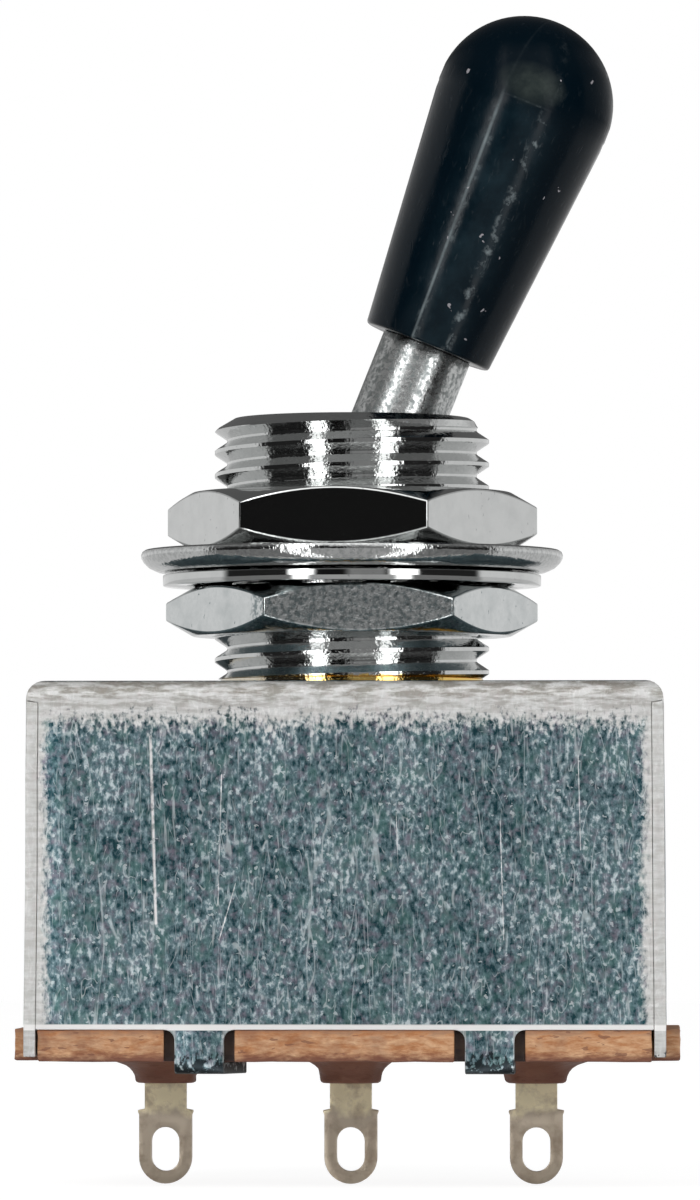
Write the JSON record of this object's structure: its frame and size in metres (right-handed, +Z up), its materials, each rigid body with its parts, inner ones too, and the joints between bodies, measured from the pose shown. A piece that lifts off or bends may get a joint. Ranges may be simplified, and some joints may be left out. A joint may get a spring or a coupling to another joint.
{
  "type": "guitar pickup selector switch",
  "caption": "Boxed toggle switch with a tipped lever, threaded bushing, panel nuts and washers, folded metal can and a row of solder lugs, for selecting guitar pickups.",
  "frame": {"origin": "on the bushing's axis, at the top face of the can", "axes": "+X along the can's long side, the way the lever leans at rest; +Y to the rear; +Z up the bushing, towards the lever's tip"},
  "size_m": [0.0284, 0.0184, 0.0506],
  "materials": {
    "zinc_steel": "zinc plated, mottled and scratched",
    "phenolic": "sheared fibrous phenolic board",
    "nickel": "bright nickel plate",
    "spring_steel": "plain",
    "black_plastic": "moulded, lightly scratched",
    "tinned_brass": "dull tin over brass",
    "slider_plastic": "moulded acetal",
    "contact_bronze": "plain bronze strip"
  },
  "bodies": {
    "body": {"housing": "zinc_steel", "base_board": "phenolic", "bushing": "nickel", "detent_plate": "spring_steel", "pivot_pin": "spring_steel", "upper_nut": "nickel", "dress_washer": "nickel", "lock_washer": "nickel", "lower_nut": "nickel", "terminal_left": "tinned_brass", "terminal_centre": "tinned_brass", "terminal_right": "tinned_brass"},
    "lever_arm": {"lever": "nickel", "lever_tip": "black_plastic"},
    "slide_block": {"slider": "slider_plastic", "bridge_contact": "contact_bronze", "contact_spring_left": "spring_steel", "contact_spring_right": "spring_steel", "detent_ball_front": "spring_steel", "detent_ball_rear": "spring_steel", "detent_spring_front": "spring_steel", "detent_spring_rear": "spring_steel"}
  },
  "joints": [
    {"name": "lever_tilt", "type": "hinge", "parent": "body", "child": "lever_arm", "pos_m": [0, 0, 0.0065], "axis": [0, 1, 0], "range_deg": [-43.6, 0]},
    {"name": "slider_travel", "type": "slide", "parent": "body", "child": "slide_block", "axis": [1, 0, 0], "range_m": [0, 0.00854]}
  ],
  "couplings": [
    {"joint": "slider_travel", "follows": "lever_tilt", "m_per_rad": -0.011227}
  ]
}
